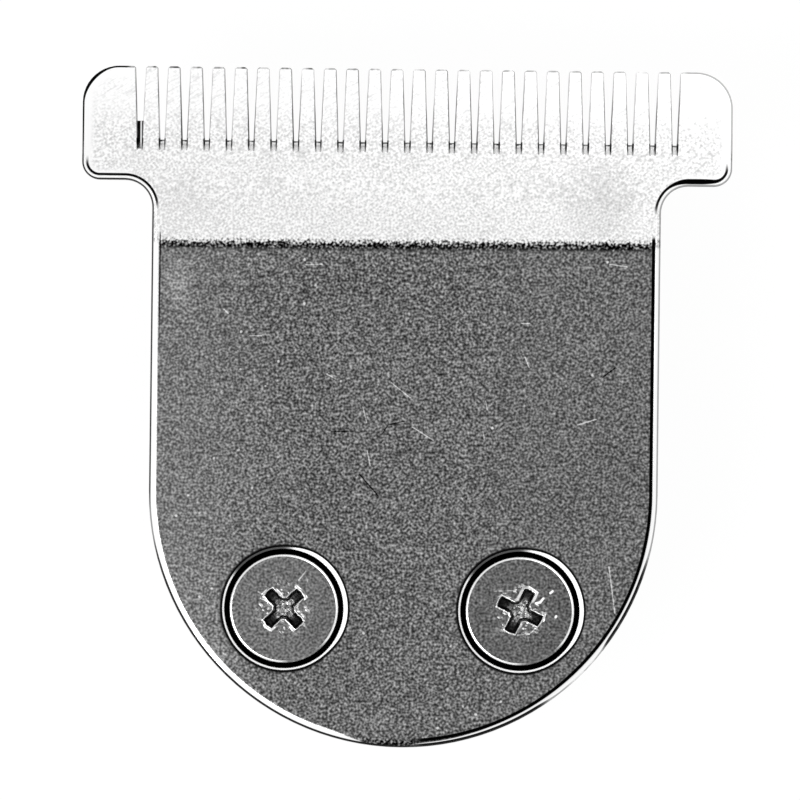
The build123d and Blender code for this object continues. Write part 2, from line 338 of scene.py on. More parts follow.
def mergePoints(work):
    bmesh.ops.remove_doubles(work, verts=work.verts, dist=0.000002)
    bmesh.ops.dissolve_degenerate(work, edges=work.edges, dist=0.0000005)


def smoothCopy(node, sharp, ease=0.0):   # copy of a CAD node, its outer edges eased by some millimetres
    flatAngle = math.radians(0.5)
    edgeAngle = math.radians(38)
    mesh = nodes[node].data.copy()
    for name in ("custom_normal", "sharp_edge", "sharp_face"):   # normals of the loose triangles
        if name in mesh.attributes:
            mesh.attributes.remove(mesh.attributes[name])
    work = bmesh.new()
    work.from_mesh(mesh)
    mergePoints(work)
    if ease:
        bmesh.ops.dissolve_limit(work, angle_limit=flatAngle, verts=work.verts, edges=work.edges)
        outer = [edge for edge in work.edges if edge.calc_face_angle_signed(0.0) > edgeAngle]
        bmesh.ops.bevel(work, geom=outer, offset=ease * 0.001, offset_type="OFFSET", segments=3, profile=0.5,
                        affect="EDGES", clamp_overlap=False)
        mergePoints(work)
    work.to_mesh(mesh)
    work.free()
    mesh.shade_smooth()
    mesh.set_sharp_from_angle(angle=math.radians(sharp))
    draft = newObject("draft", mesh)
    even = draft.modifiers.new("even", "WEIGHTED_NORMAL")
    even.keep_sharp = True
    even.weight = 100
    return finishDraft(draft, node)


# fixed blade: dark blasted body, bright ground bevel, polished rolled rim, dark flanks, with highlights and
# shade painted on the rim, round the seats and in the gaps

blade = {
    # outline, in millimetres
    "headHalf": 20.0, "bodyHalf": 15.65, "tipY": 20.875, "wingY": 13.855,
    "wingTop": 2.25, "wingFoot": 1.1, "neck": 1.7, "sharp": 24,
    "toothPitch": 1.372, "gapRootY": 15.775, "gapRoot": 0.166, "gapMouth": 0.344,
    "seatX": 7.26, "seatY": -12.405, "seatRadius": 3.66, "seatEdge": 0.2,
    # end of the grinding
    "bevelY": 9.93, "bevelLean": 0.005, "fade": (0.04, 0.5), "lineDarkFade": (-0.32, -0.02), "ragged": 0.22,
    # greys as they look
    "body": 0.366, "bevel": 0.925, "rim": 0.985, "dark": 0.03, "black": 0.01, "outline": 0.06,
    "lineDark": 0.16, "foot": 0.2, "shadedRing": 0.28, "flank": 0.46, "back": 0.72,
    "wallLeft": (0.92, 0.66), "wallRight": (0.8, 0.3),
    # what each effect adds to the grey
    "leftLightLift": 0.037, "lowLeftLightLift": 0.012, "upperLift": 0.014, "driftLift": 0.04, "rubLift": 0.07,
    "saltLift": 0.36, "strokeLift": 0.34, "dentLift": -0.3, "lineLift": 0.2, "cloudLift": 0.06,
    "teethLift": 0.05, "streakLift": 0.5, "backLift": 0.24, "wallLift": 0.12,
    # grain and grinding
    "grainSize": 0.155, "bodyGrain": 0.86, "leftGrain": -0.2, "rightGrain": -0.12, "skew": 0.3,
    "lineDarkGrain": 1.5, "footGrain": 1.6, "bevelGrain": 0.58, "teethGrain": -0.7,
    "grindTurn": -0.56, "grindPitch": 0.07, "grindLength": 0.55, "backPitch": 0.09, "backLength": 14.0,
    "bumpDepth": 0.000006, "rough": 0.56, "bareRough": -0.24, "ringMetal": -0.85,
    # zones of the body and bevel: where each begins and is full
    "leftX": (-6.0, -14.0), "lowY": (-2.0, -8.0), "upperX": (2.0, 11.0), "upperY": (-5.0, 6.0),
    "rightX": (4.0, 8.0), "teethY": (16.5, 19.0), "lineDarkX": (-14.0, -8.0),
    "rubSpot": (-14.0, 7.6), "rubReach": (1.1, 0.3), "rowX": (17.1, 16.9), "wallX": (17.2, 17.1),
    # zones of the rim's painted highlight band and painted shade lines: places, then depths inside the
    # outline
    "rollLeftX": (-2.0, -2.6), "rollRightX": (0.4, 1.6), "thinLeftX": (-4.6, -0.9), "thinRightX": (7.0, 0.8),
    "marginX": (16.4, 17.2), "footX": (-2.4, 1.5, 1.0), "footY": (-17.0, -19.0),
    "topLeftX": (-14.0, -14.6), "topLeftY": (3.0, 7.0), "neckX": (14.6, 15.6), "neckY": (12.3, 15.0, 0.4),
    "marginDepth": (0.9, 0.4), "footDepth": (0.6, 0.2), "leftDepth": (0.5, 0.38), "rightDepth": (0.35, 0.3),
    "rightShadeLine": (0.33, 0.53, 0.03), "topLeftShadeLine": (0.48, 0.56, 0.03),
    "neckDepth": (0.5, 0.3), "neckInner": (0.22, 0.28), "neckOuter": (0.43, 0.37),
    # zones of the dark outline, painted shade
    "outlineDepth": (0.125, 0.08), "cornerSpot": (-19.5, 20.075), "cornerReach": (1.7, 0.2),
    "thickX": (0.8, 9.0, 0.8), "thickY": (-12.0, -13.5), "goneX": (10.4, 12.1, 0.4), "goneY": (-12.0, -13.0),
    "lowRightX": (12.1, 12.8), "lowRightY": (-8.0, -10.5), "lowLeftX": (2.0, -2.0), "lowLeftY": (-8.0, -11.0),
    "weakX": (-12.0, -14.0), "weakY": (-8.6, -5.8, 0.8), "paleX": (-13.0, 2.0), "farLeftX": (-16.0, -17.5),
    "tipX": (17.4, 17.0),
    # light round the seats comes from one side
    "seatLight": (0.94, 0.34), "seatLit": (0.35, 0.9), "seatShade": (-0.42, 0.91), "seatDull": (0.8, 0.93),
    # scratches: bright ones and dark ones
    "strokes": [((-9.55, 4.35), (-8.85, 4.35)), ((-11.15, 5.95), (-10.9, 5.7)), ((-6.15, 8.75), (-5.15, 8.8)),
                ((-4.8, 2.05), (-4.25, 1.75)), ((-0.8, 1.55), (0.35, 0.65)), ((-2.55, 0.05), (-2.3, -0.9)),
                ((-2.25, -2.65), (-2.05, -3.55)), ((0.5, -1.15), (1.8, -1.95)), ((5.0, 0.5), (5.1, 0.0)),
                ((4.85, -1.35), (4.95, -1.85)), ((7.15, 5.3), (7.65, 5.3)), ((7.4, 3.2), (7.65, 2.6)),
                ((10.7, -0.9), (11.8, -0.55)), ((12.55, 9.0), (13.6, 8.85)), ((12.7, -9.6), (13.1, -12.45))],
    "dents": [((-1.3, -1.55), (-1.0, -1.05)), ((-1.0, -1.05), (0.0, -0.8)), ((-4.45, -1.5), (-3.15, -1.45)),
              ((-2.7, -4.1), (-1.55, -5.4)), ((12.2, 2.05), (12.9, 2.6))],
    "strokeWidth": 0.065,
    "smudges": [((11.9, 13.0), 3.2, 0.075), ((-13.6, 12.4), 2.6, 0.035)],   # place, reach, drop in tone
}


def outlineDepth(x, y):   # how far a place lies inside the T outline, gaps left aside
    side = absolute(x)
    middle = 0.5 * (blade["tipY"] + blade["wingY"])
    halfDepth = 0.5 * (blade["tipY"] - blade["wingY"])
    upper = calc("GREATER_THAN", y, middle)
    corner = addScaled(blade["wingFoot"], upper, blade["wingTop"] - blade["wingFoot"])
    overX = plus(minus(side, blade["headHalf"]), corner)
    overY = plus(minus(absolute(minus(y, middle)), halfDepth), corner)
    rounded = hypot(larger(overX, 0.0), larger(overY, 0.0))
    inner = smaller(larger(overX, overY), 0.0)
    headOut = minus(plus(rounded, inner), corner)
    fall = smaller(minus(y, blade["bodyHalf"] - blade["tipY"]), 0.0)
    bodyOut = minus(hypot(side, fall), blade["bodyHalf"])
    bodyOut = larger(bodyOut, minus(y, middle))
    nearBody = larger(minus(blade["neck"], bodyOut), 0.0)
    nearHead = larger(minus(blade["neck"], headOut), 0.0)
    most = larger(blade["neck"], smaller(bodyOut, headOut))
    return minus(hypot(nearBody, nearHead), most)


def farFrom(mm, spot, squash=1.0):
    return hypot(minus(mm["X"], spot[0]), times(minus(mm["Y"], spot[1]), squash))


def fromSeat(mm):   # place as seen from the nearer screw
    overX = minus(absolute(mm["X"]), blade["seatX"])
    return times(overX, calc("SIGN", mm["X"])), minus(mm["Y"], blade["seatY"])


def along(x, y, heading):
    return addScaled(times(x, heading[0]), y, heading[1])


def strokeMask(place, strokes, width, breaks):
    total = 0.0
    for ends in strokes:
        total = larger(total, strokeAt(place, ends, width, breaks))
    return total


def bodyLevel(mm, grain, marks, dents):
    x, y = mm["X"], mm["Y"]
    drift = minus(noise(mm["Place"], 0.11, 2.0), 0.5)
    # painted light: the body lighter towards the left, more so at the lower left
    left = step(x, *blade["leftX"])
    right = step(x, *blade["rightX"])
    pale = addScaled(blade["leftLightLift"], step(y, *blade["lowY"]), blade["lowLeftLightLift"])
    level = addScaled(blade["body"], left, pale)
    upper = times(step(x, *blade["upperX"]), step(y, *blade["upperY"]))
    rubbed = step(farFrom(mm, blade["rubSpot"], 0.5), *blade["rubReach"])
    gain = addScaled(blade["bodyGrain"], left, blade["leftGrain"] * blade["bodyGrain"])
    gain = addScaled(gain, right, blade["rightGrain"] * blade["bodyGrain"])
    tone = addScaled(grain["Tone"], times(grain["Tone"], grain["Tone"]), blade["skew"])
    for effect, lift in ((upper, blade["upperLift"]), (drift, blade["driftLift"]), (rubbed, blade["rubLift"]),
                         (tone, gain), (grain["Salt"], blade["saltLift"]), (dents, blade["dentLift"]),
                         (marks, blade["strokeLift"])):
        level = addScaled(level, effect, lift)
    return level


def bevelLevel(mm, grain, lines):
    cloud = minus(noise(mm["Place"], 0.35, 3.0, 0.6), 0.5)
    teeth = step(mm["Y"], *blade["teethY"])
    gain = addScaled(blade["bevelGrain"], teeth, blade["teethGrain"] * blade["bevelGrain"])
    level = addScaled(blade["bevel"], grain["Tone"], gain)
    level = addScaled(level, minus(lines["Tone"], 0.5), blade["lineLift"])
    level = addScaled(level, cloud, blade["cloudLift"])
    for spot, reach, drop in blade["smudges"]:
        level = addScaled(level, step(farFrom(mm, spot), reach, 0.3 * reach), -drop)
    return addScaled(level, teeth, blade["teethLift"])


def seatLevel(mm, level):   # painted shade: a black gap round each screw and a dark halo; painted highlight: a bright edge, dull on its shaded side
    overX, overY = fromSeat(mm)
    radius = hypot(overX, overY)
    safe = larger(radius, 0.1)
    lit = step(ratio(along(overX, overY, blade["seatLight"]), safe), *blade["seatLit"])
    shadedSide = step(ratio(along(overX, overY, blade["seatShade"]), safe), *blade["seatDull"])
    reach = addScaled(radius, lit, -0.14)
    edge = blade["seatRadius"] + blade["seatEdge"]
    shadeHalo = addScaled(edge + 0.16, lit, -0.06)
    level = lerp(step(reach, shadeHalo, edge), level, blade["outline"])
    highlightRing = step(reach, edge - 0.04, edge - 0.1)
    level = lerp(highlightRing, level, lerp(shadedSide, blade["rim"], blade["shadedRing"]))
    gap = step(radius, blade["seatRadius"] + 0.03, blade["seatRadius"] - 0.01)
    return lerp(gap, level, blade["black"]), calc("SUBTRACT", highlightRing, gap, clamp=True)


def gapLevel(mm, level):   # painted shade: thin dark lines along the sides of the gaps, strongest at their roots
    x, y = mm["X"], mm["Y"]
    rootY = blade["gapRootY"]
    off = calc("PINGPONG", x, 0.5 * blade["toothPitch"])
    share = calc("DIVIDE", minus(y, rootY), blade["tipY"] - rootY, clamp=True)
    half = addScaled(blade["gapRoot"], share, blade["gapMouth"] - blade["gapRoot"])
    beyond = minus(off, half)
    root = band(y, rootY - 0.05, rootY + 0.66, 0.06)
    root = times(root, addScaled(0.55, step(y, rootY, rootY + 0.4), 0.45))
    wander = noise(vec("MULTIPLY", mm["Place"], (1.4, 1.0, 1.4)), 1.7, 2.0)
    thin = times(step(beyond, 0.05, 0.02), step(wander, 0.56, 0.44), step(y, rootY - 0.1, rootY))
    mark = larger(times(thin, 0.14), times(root, band(beyond, -0.06, 0.03, 0.02)))
    inRow = step(absolute(x), *blade["rowX"])
    return lerp(times(mark, inRow), level, blade["outline"])


def rimLevel(mm, grain, level):   # polished roll, its brightness partly a painted highlight, wider on the left than on the right, with painted shade lines that bound it
    x, y = mm["X"], mm["Y"]
    side = absolute(x)
    depth = outlineDepth(x, y)
    body = step(y, blade["bevelY"] + 0.5, blade["bevelY"])
    above = step(y, blade["bevelY"] + 0.9, blade["bevelY"] + 0.5)
    left = times(body, step(x, *blade["rollLeftX"]))
    toRight = step(x, *blade["rollRightX"])
    leftDepth = addScaled(depth, step(x, *blade["thinLeftX"]), 0.42)
    rightDepth = addScaled(depth, step(x, *blade["thinRightX"]), 0.08)
    # painted highlight: the rim beside the wings
    margin = times(step(y, blade["wingY"] - 0.2, blade["wingY"] + 0.4),
                   step(side, *blade["marginX"]), step(depth, *blade["marginDepth"]))
    level = lerp(margin, level, blade["rim"])
    # painted shade: the rim at the bottom middle darkened, with grain
    foot = times(step(y, *blade["footY"]), band(x, *blade["footX"]), step(depth, *blade["footDepth"]))
    level = lerp(foot, level, addScaled(blade["foot"], grain["Tone"], blade["footGrain"]))
    # painted highlight: the rim on the left, in a wide band
    level = lerp(times(left, step(leftDepth, *blade["leftDepth"])), level, blade["rim"])
    # painted shade: dark lines inside the bright band, on the right and at the top left
    rightShadeLine = times(above, toRight, band(depth, *blade["rightShadeLine"]))
    level = lerp(rightShadeLine, level, blade["dark"])
    topLeft = times(above, step(y, *blade["topLeftY"]), step(x, *blade["topLeftX"]),
                    band(depth, *blade["topLeftShadeLine"]))
    level = lerp(times(topLeft, 0.8), level, blade["dark"])
    # painted highlight: the rim on the right, in a narrower band
    right = times(body, toRight, step(rightDepth, *blade["rightDepth"]))
    level = lerp(right, level, blade["rim"])

    # underside of the wings and the necks: a painted highlight line between two painted shade lines, closed
    # up on the right
    neck = times(step(side, *blade["neckX"]), band(y, *blade["neckY"]))
    level = lerp(times(neck, step(depth, *blade["neckDepth"])), level, blade["rim"])
    closed = band(x, blade["bodyHalf"] + 1.0, blade["headHalf"] - 1.1, 0.8)
    inner = step(addScaled(depth, closed, 0.12), *blade["neckInner"])
    outer = step(addScaled(depth, closed, -0.05), *blade["neckOuter"])
    level = lerp(times(neck, inner, outer), level, blade["dark"])

    # painted shade: a thin dark outline all round, thick at one wing corner and round the right screw, almost
    # gone below it, torn at the tips
    corner = step(farFrom(mm, blade["cornerSpot"]), *blade["cornerReach"])
    thick = times(band(x, *blade["thickX"]), step(y, *blade["thickY"]))
    gone = times(band(x, *blade["goneX"]), step(y, *blade["goneY"]))
    lowRight = times(step(x, *blade["lowRightX"]), step(y, *blade["lowRightY"]))
    lowLeft = times(step(y, *blade["lowLeftY"]), step(x, *blade["lowLeftX"]))
    weak = times(band(y, *blade["weakY"]), step(x, *blade["weakX"]))
    flatPlace = vec("MULTIPLY", mm["Place"], (1.0, 1.0, 0.0))
    tips = times(step(noise(flatPlace, 1.3, 2.0), 0.6, 0.4),
                 step(y, blade["tipY"] - 0.5, blade["tipY"] - 0.3), step(side, *blade["tipX"]))
    shallow = depth
    for part, more in ((corner, 0.09), (thick, 0.1), (lowRight, 0.1), (lowLeft, 0.04)):
        shallow = addScaled(shallow, part, -more)
    strength = addScaled(0.85, step(x, *blade["paleX"]), -0.5)
    for part in (step(x, *blade["farLeftX"]), lowLeft, lowRight, thick):
        strength = larger(strength, part)
    for part, less in ((gone, 0.75), (weak, 0.5), (tips, 0.75)):
        strength = times(strength, addScaled(1.0, part, -less))
    line = times(step(shallow, *blade["outlineDepth"]), strength)
    return lerp(line, level, blade["outline"])


def sideLevel(mm, face, grain):   # stamped flanks streaked front to back, gap walls with painted shade, darker on one side and at the roots, bright gap floors
    x, y, place = mm["X"], mm["Y"], mm["Place"]
    streak = noise(vec("MULTIPLY", place, (6.0, 6.0, 0.7)), 1.0, 3.0, 0.6)
    flank = addScaled(blade["flank"], minus(streak, 0.5), blade["streakLift"])
    inGaps = times(step(y, blade["gapRootY"] - 0.4, blade["gapRootY"] - 0.3),
                   step(face[1], 0.9, 0.7), step(absolute(x), *blade["wallX"]))
    broken = step(noise(vec("MULTIPLY", place, (0.9, 0.25, 0.0)), 1.0, 2.0), 0.36, 0.64)
    # painted shade: walls darker on one side, and dark near the roots
    wall = lerp(step(face[0], -0.3, 0.3), lerp(broken, *blade["wallLeft"]),
                lerp(broken, *blade["wallRight"]))
    dark = addScaled(blade["outline"], grain["Tone"], blade["wallLift"])
    wall = lerp(step(y, blade["gapRootY"] + 0.72, blade["gapRootY"] + 0.6), wall, dark)
    ramp = times(step(face[1], 0.5, 0.8), step(face[2], 0.1, 0.2))
    return lerp(ramp, lerp(inGaps, flank, wall), blade["rim"])


def bladeMaterial():
    material, tree, shader = newMaterial("blasted ground steel")
    mm = useGroup(tree, millimetres)
    place, x, y = (mm[key] for key in ("Place", "X", "Y"))
    face = faceAxes(tree)
    grain = useGroup(tree, blastGrain, Place=place, Size=blade["grainSize"])
    lines = useGroup(tree, grindLines, Place=place, Turn=blade["grindTurn"], Pitch=blade["grindPitch"],
                     Length=blade["grindLength"])
    breaks = step(noise(place, 2.4, 2.0), 0.1, 0.4)
    marks = strokeMask(place, blade["strokes"], blade["strokeWidth"], breaks)
    dents = strokeMask(place, blade["dents"], blade["strokeWidth"], breaks)

    # the grinding ends in a ragged dark line
    lineY = addScaled(blade["bevelY"], x, blade["bevelLean"])
    ragged = minus(noise(place, 2.6, 3.0, 0.7), 0.5)
    past = addScaled(minus(y, lineY), ragged, blade["ragged"])
    past = addScaled(past, grain["Tone"], 0.5)
    strength = addScaled(0.75, step(x, *blade["lineDarkX"]), 0.2)
    level = bodyLevel(mm, grain, marks, dents)
    lineDark = addScaled(blade["lineDark"], grain["Tone"], blade["lineDarkGrain"])
    level = lerp(times(step(past, *blade["lineDarkFade"]), strength), level, lineDark)
    level = lerp(step(past, *blade["fade"]), level, bevelLevel(mm, grain, lines))
    # ring: the painted highlight round each seat, also made less metallic
    level, ring = seatLevel(mm, level)
    level = rimLevel(mm, grain, gapLevel(mm, level))

    # what is seen from the side, and the ground back
    inTeeth = step(y, blade["gapRootY"] - 0.4, blade["gapRootY"] - 0.3)
    upright = lerp(inTeeth, step(face[2], 0.3, 0.15), step(face[2], 0.6, 0.5))
    level = lerp(upright, level, sideLevel(mm, face, grain))
    backLines = useGroup(tree, grindLines, Place=place, Turn=0.0, Pitch=blade["backPitch"],
                         Length=blade["backLength"])
    back = addScaled(blade["back"], minus(backLines["Tone"], 0.5), blade["backLift"])
    behind = step(face[2], -0.4, -0.7)
    level = lerp(behind, level, back)
    bare = larger(step(level, 0.6, 0.9), behind)
    onBevel = step(y, blade["bevelY"], blade["bevelY"] + 0.3)
    height = lerp(onBevel, grain["Height"], lines["Height"])
    toShader(shader, Base_Color=asColour(level),
             Metallic=addScaled(1.0, ring, blade["ringMetal"]),
             Roughness=addScaled(blade["rough"], bare, blade["bareRough"]),
             Normal=bump(height, blade["bumpDepth"], None, 0.5))
    return material


addPiece("bladePlate", smoothCopy("fixed_blade", blade["sharp"]), bladeMaterial(),
         "blade_body", "fixed_blade")
print("fixed blade dressed")

# sliding cutter: plain ground steel, with a lapped front that shows in the gaps

cutter = {
    "ease": 0.03, "sharp": 33, "pitch": 1.372, "gulletY": 16.375, "barBelow": 0.12, "endX": -15.8,
    "stripeX": -16.41, "stripeHalf": 0.05,
    "level": 0.74, "worn": 0.9, "lapped": 1.0, "dark": 0.07, "lineLift": 0.25,
    "lineTurn": 1.45, "linePitch": 0.07, "lineLength": 9.0, "wearRadius": 0.00005, "wearGain": 5.0,
    "rough": 0.26, "stainRough": 0.16, "lappedRough": 0.03, "bumpDepth": 0.000008,
}


def cutterMaterial():
    material, tree, shader = newMaterial("ground cutter steel", Metallic=1.0)
    mm = useGroup(tree, millimetres)
    lapped = step(faceAxes(tree)[2], 0.9, 0.98)
    lines = useGroup(tree, grindLines, Place=mm["Place"], Turn=cutter["lineTurn"], Pitch=cutter["linePitch"],
                     Length=cutter["lineLength"])
    stain = noise(mm["Place"], 0.5, 3.0)
    wear = useGroup(tree, edgeWear, Radius=cutter["wearRadius"], Gain=cutter["wearGain"])
    level = addScaled(cutter["level"], minus(lines["Tone"], 0.5), cutter["lineLift"])
    level = times(level, addScaled(0.9, stain, 0.2))
    level = lerp(wear["Mask"], level, cutter["worn"])

    # painted shade: a dark bar over each gullet and the end shoulder dark; painted highlight: one bright
    # stripe on the shoulder
    gap = calc("FLOOR", ratio(mm["X"], cutter["pitch"]))
    chance = addAfter("ShaderNodeTexWhiteNoise", {"W": gap}, noise_dimensions="1D").outputs["Color"]
    shade = addAfter("ShaderNodeSeparateColor", {0: chance}).outputs
    low = addScaled(minus(mm["Y"], cutter["gulletY"] - cutter["barBelow"]), shade[0], -0.06)
    shadeBar = times(band(low, 0.0, 0.1, 0.04), addScaled(0.4, shade[1], 0.6))
    front = lerp(shadeBar, cutter["lapped"], cutter["dark"])
    shineStripe = band(mm["X"], cutter["stripeX"] - cutter["stripeHalf"],
                  cutter["stripeX"] + cutter["stripeHalf"], 0.02)
    shoulder = lerp(shineStripe, cutter["dark"], cutter["lapped"])
    front = lerp(step(mm["X"], cutter["endX"], cutter["endX"] - 0.1), front, shoulder)
    level = lerp(lapped, level, front)
    rough = addScaled(cutter["rough"], stain, cutter["stainRough"])
    scored = addScaled(0.6, lapped, -0.55)
    toShader(shader, Base_Color=asColour(level),
             Roughness=lerp(lapped, rough, cutter["lappedRough"]),
             Normal=bump(lines["Height"], cutter["bumpDepth"], wear["Normal"], scored))
    return material


addPiece("cutterPlate", smoothCopy("moving_cutter", cutter["sharp"], cutter["ease"]), cutterMaterial(),
         "cutter", "moving_cutter")
print("cutter dressed")

# plastics: off-white drive fork and black carrier

fork = {
    "ease": 0.16, "sharp": 33, "colour": (0.80, 0.775, 0.70, 1.0), "worn": (0.62, 0.59, 0.52, 1.0),
    "pale": (0.86, 0.84, 0.78, 1.0), "wearRadius": 0.00015, "wearGain": 3.0,
    "rough": 0.34, "bumpDepth": 0.00001,
}
carrier = {
    "ease": 0.16, "sharp": 33, "colour": (0.020, 0.020, 0.021, 1.0), "worn": (0.075, 0.075, 0.078, 1.0),
    "grainSize": 0.12, "wearRadius": 0.0002, "wearGain": 2.5, "scratchSpread": 5.0, "scratchWidth": 0.03,
    "rough": 0.5, "bumpDepth": 0.000015,
}


def forkMaterial():
    material, tree, shader = newMaterial("moulded off-white plastic", IOR=1.49)
    place = useGroup(tree, millimetres)["Place"]
    cloud = noise(place, 0.35, 3.0)
    wear = useGroup(tree, edgeWear, Radius=fork["wearRadius"], Gain=fork["wearGain"])
    rub = times(step(noise(place, 1.1, 4.0, 0.7), 0.5, 0.75), 0.5)
    rub = larger(rub, times(wear["Mask"], 0.35))
    colour = blendColour(rub, fork["colour"], fork["worn"])
    toShader(shader, Base_Color=blendColour(times(cloud, 0.25), colour, fork["pale"]),
             Roughness=addScaled(fork["rough"], cloud, 0.2),
             Normal=bump(noise(place, 9.0, 2.0), fork["bumpDepth"], wear["Normal"], 0.4))
    return material


def carrierMaterial():
    material, tree, shader = newMaterial("moulded black plastic", IOR=1.5)
    place = useGroup(tree, millimetres)["Place"]
    grain = useGroup(tree, blastGrain, Place=place, Size=carrier["grainSize"])
    wear = useGroup(tree, edgeWear, Radius=carrier["wearRadius"], Gain=carrier["wearGain"])
    marks = useGroup(tree, looseScratches, Place=place, Spread=carrier["scratchSpread"],
                     Width=carrier["scratchWidth"])["Mask"]
    rub = times(wear["Mask"], step(noise(place, 0.8, 4.0, 0.7), 0.35, 0.7))
    rub = larger(rub, times(marks, 0.35))
    rub = larger(rub, addScaled(0.12, grain["Tone"], 0.3))
    toShader(shader, Base_Color=blendColour(rub, carrier["colour"], carrier["worn"]),
             Roughness=addScaled(carrier["rough"], grain["Tone"], 0.25),
             Normal=bump(grain["Height"], carrier["bumpDepth"], wear["Normal"], 0.6))
    return material


addPiece("driveFork", smoothCopy("cutter_driver", fork["sharp"], fork["ease"]), forkMaterial(),
         "cutter", "cutter_driver")
addPiece("carrierShell", smoothCopy("blade_carrier", carrier["sharp"], carrier["ease"]), carrierMaterial(),
         "blade_body", "blade_carrier")
print("fork and carrier dressed")

# screws: turned by a node tree, which also sinks the cross recess and raises the burrs round it

screw = {
    # sizes in millimetres, the draft in degrees
    "headRadius": 3.38, "headEdge": 0.2, "headHeight": 1.0, "top": 9.75, "edgeSteps": 8, "sharp": 40,
    "shankRadius": 1.5, "length": 6.0, "point": 0.4, "y": -12.405, "spacing": 14.52,
    "span": 2.9, "wing": 0.72, "web": 0.2, "draft": 6.5, "depth": 1.3, "foot": 1.3, "burr": 0.04,
    "chew": 0.14, "around": 288, "fineRadius": 1.8, "fineStep": 0.03, "wideStep": 0.12,
    # greys as they look, and what each effect adds
    "level": 0.374, "bright": 0.98, "dark": 0.02, "sideLightLift": -0.0026, "grainLift": 0.56, "turningLift": 0.06,
    "stainLift": 0.12, "scratchLift": 0.15, "strokeLift": 0.36,
    "grainSize": 0.16, "scratchSpread": 2.6, "scratchWidth": 0.025, "shade": (0.42, -0.91),
    "rough": 0.44, "shineRough": -0.2, "bumpDepth": 0.000006,
    # scratches on the faces, and bright dabs beside the recesses
    "strokes": [((-7.71, -10.48), (-7.21, -11.15)), ((-6.36, -10.65), (-5.93, -10.09)),
                ((-8.85, -11.4), (-8.3, -11.7)), ((5.7, -11.2), (7.0, -11.12)),
                ((7.14, -13.87), (7.85, -13.81)), ((7.85, -13.81), (8.25, -13.44))],
    "dabs": [((8.24, -11.9), (8.5, -11.85)), ((8.5, -11.85), (8.7, -11.6)), ((9.12, -11.27), (9.26, -11.15)),
             ((9.46, -12.75), (9.5, -12.68)), ((7.4, -12.24), (7.4, -12.56)),
             ((7.4, -12.56), (7.25, -12.52))],
    "strokeWidth": 0.07, "dabWidth": 0.112,
}


def screwProfile():   # radius and height in millimetres, from the middle of the face to the point
    head, edge, top = (screw[key] for key in ("headRadius", "headEdge", "top"))
    shank, point = screw["shankRadius"], screw["point"]
    face = head - edge
    seat = top - screw["headHeight"]
    end = seat - screw["length"]
    rows = []
    radius = 0.0
    while radius < face - 0.5 * screw["fineStep"]:
        rows.append((radius, top))
        radius += screw["fineStep"] if radius < screw["fineRadius"] else screw["wideStep"]
    for i in range(screw["edgeSteps"] + 1):   # round edge of the head
        turn = 0.5 * math.pi * i / screw["edgeSteps"]
        rows.append((face + edge * math.sin(turn), top - edge * (1.0 - math.cos(turn))))
    rows += [(head, seat + 0.03), (head, seat), (shank, seat)]
    rows += [(shank, end + point), (shank - point, end), (0.0, end)]
    return rows


